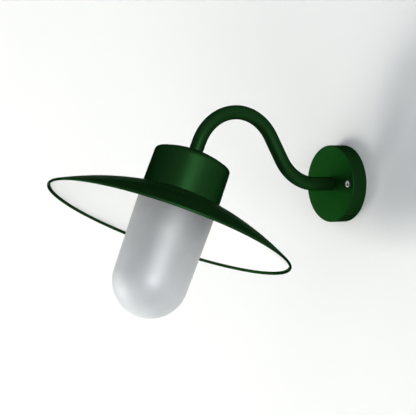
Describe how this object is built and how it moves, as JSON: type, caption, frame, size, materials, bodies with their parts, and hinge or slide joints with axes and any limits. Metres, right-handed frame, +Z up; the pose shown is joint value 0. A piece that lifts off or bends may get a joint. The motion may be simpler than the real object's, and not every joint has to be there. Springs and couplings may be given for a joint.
{
  "type": "gooseneck wall sconce",
  "caption": "Swan-neck wall lamp: a bent tube from a round rose carries a drum cap, a wide shallow dished shade and a frosted screw-neck glass over the lamp.",
  "frame": {"origin": "centre of the wall rose's back, on the wall's face", "axes": "+Y into the wall, the lamp stands out towards -Y, +Z up, X across"},
  "size_m": [0.32, 0.4181, 0.2645],
  "materials": {
    "green_paint": "satin",
    "zinc_steel": "satin",
    "stainless": "polished",
    "brass": "satin",
    "black_rubber": "matte",
    "white_moulding": "matte",
    "black_moulding": "satin",
    "porcelain": "gloss",
    "frosted_glass": "matte",
    "opal_plastic": "satin",
    "nickel_cap": "satin"
  },
  "bodies": {
    "fixture": {"wall_plate": "zinc_steel", "rose_pillars": "zinc_steel", "wall_seal": "black_rubber", "cable_grommet": "black_rubber", "terminal_block": "white_moulding", "terminal_clamps": "brass", "terminal_screws": "zinc_steel", "terminal_fixing_screw": "zinc_steel", "earth_washer": "zinc_steel", "earth_screw": "brass", "wall_rose": "green_paint", "rose_screw_seals": "black_rubber", "rose_screws": "stainless", "arm_tube": "green_paint", "rose_bush": "zinc_steel", "rose_washer": "zinc_steel", "rose_locknut": "zinc_steel", "head_bush": "zinc_steel", "head_washer": "zinc_steel", "head_locknut": "zinc_steel", "head_cap": "green_paint", "shade_gasket": "black_rubber", "shade": "green_paint", "shade_ring": "zinc_steel", "lampholder_bracket": "zinc_steel", "lampholder_body": "porcelain", "lampholder_shell": "brass", "lampholder_contact": "brass", "lampholder_screws": "zinc_steel", "lampholder_terminals": "brass", "lampholder_terminal_screws": "zinc_steel"},
    "glass_seal_ring": {"glass_seal": "black_rubber"},
    "glass": {"glass_dome": "frosted_glass"},
    "bulb": {"bulb_envelope": "opal_plastic", "bulb_housing": "white_moulding", "bulb_cap": "nickel_cap", "bulb_insulator": "black_moulding", "bulb_contact": "brass"}
  },
  "joints": [
    {"name": "glass_advance", "type": "slide", "parent": "fixture", "child": "glass_seal_ring", "axis": [0, -0.3875, -0.9219], "range_m": [0, 0.022]},
    {"name": "glass_unscrew", "type": "hinge", "parent": "glass_seal_ring", "child": "glass", "pos_m": [0, -0.27051, -0.05219], "axis": [0, -0.3875, -0.9219], "range_deg": [0, 1440]},
    {"name": "bulb_withdraw", "type": "slide", "parent": "fixture", "child": "bulb", "axis": [0, -0.3875, -0.9219], "range_m": [0, 0.06]}
  ],
  "couplings": [
    {"joint": "glass_advance", "follows": "glass_unscrew", "m_per_rad": 0.00087535}
  ]
}
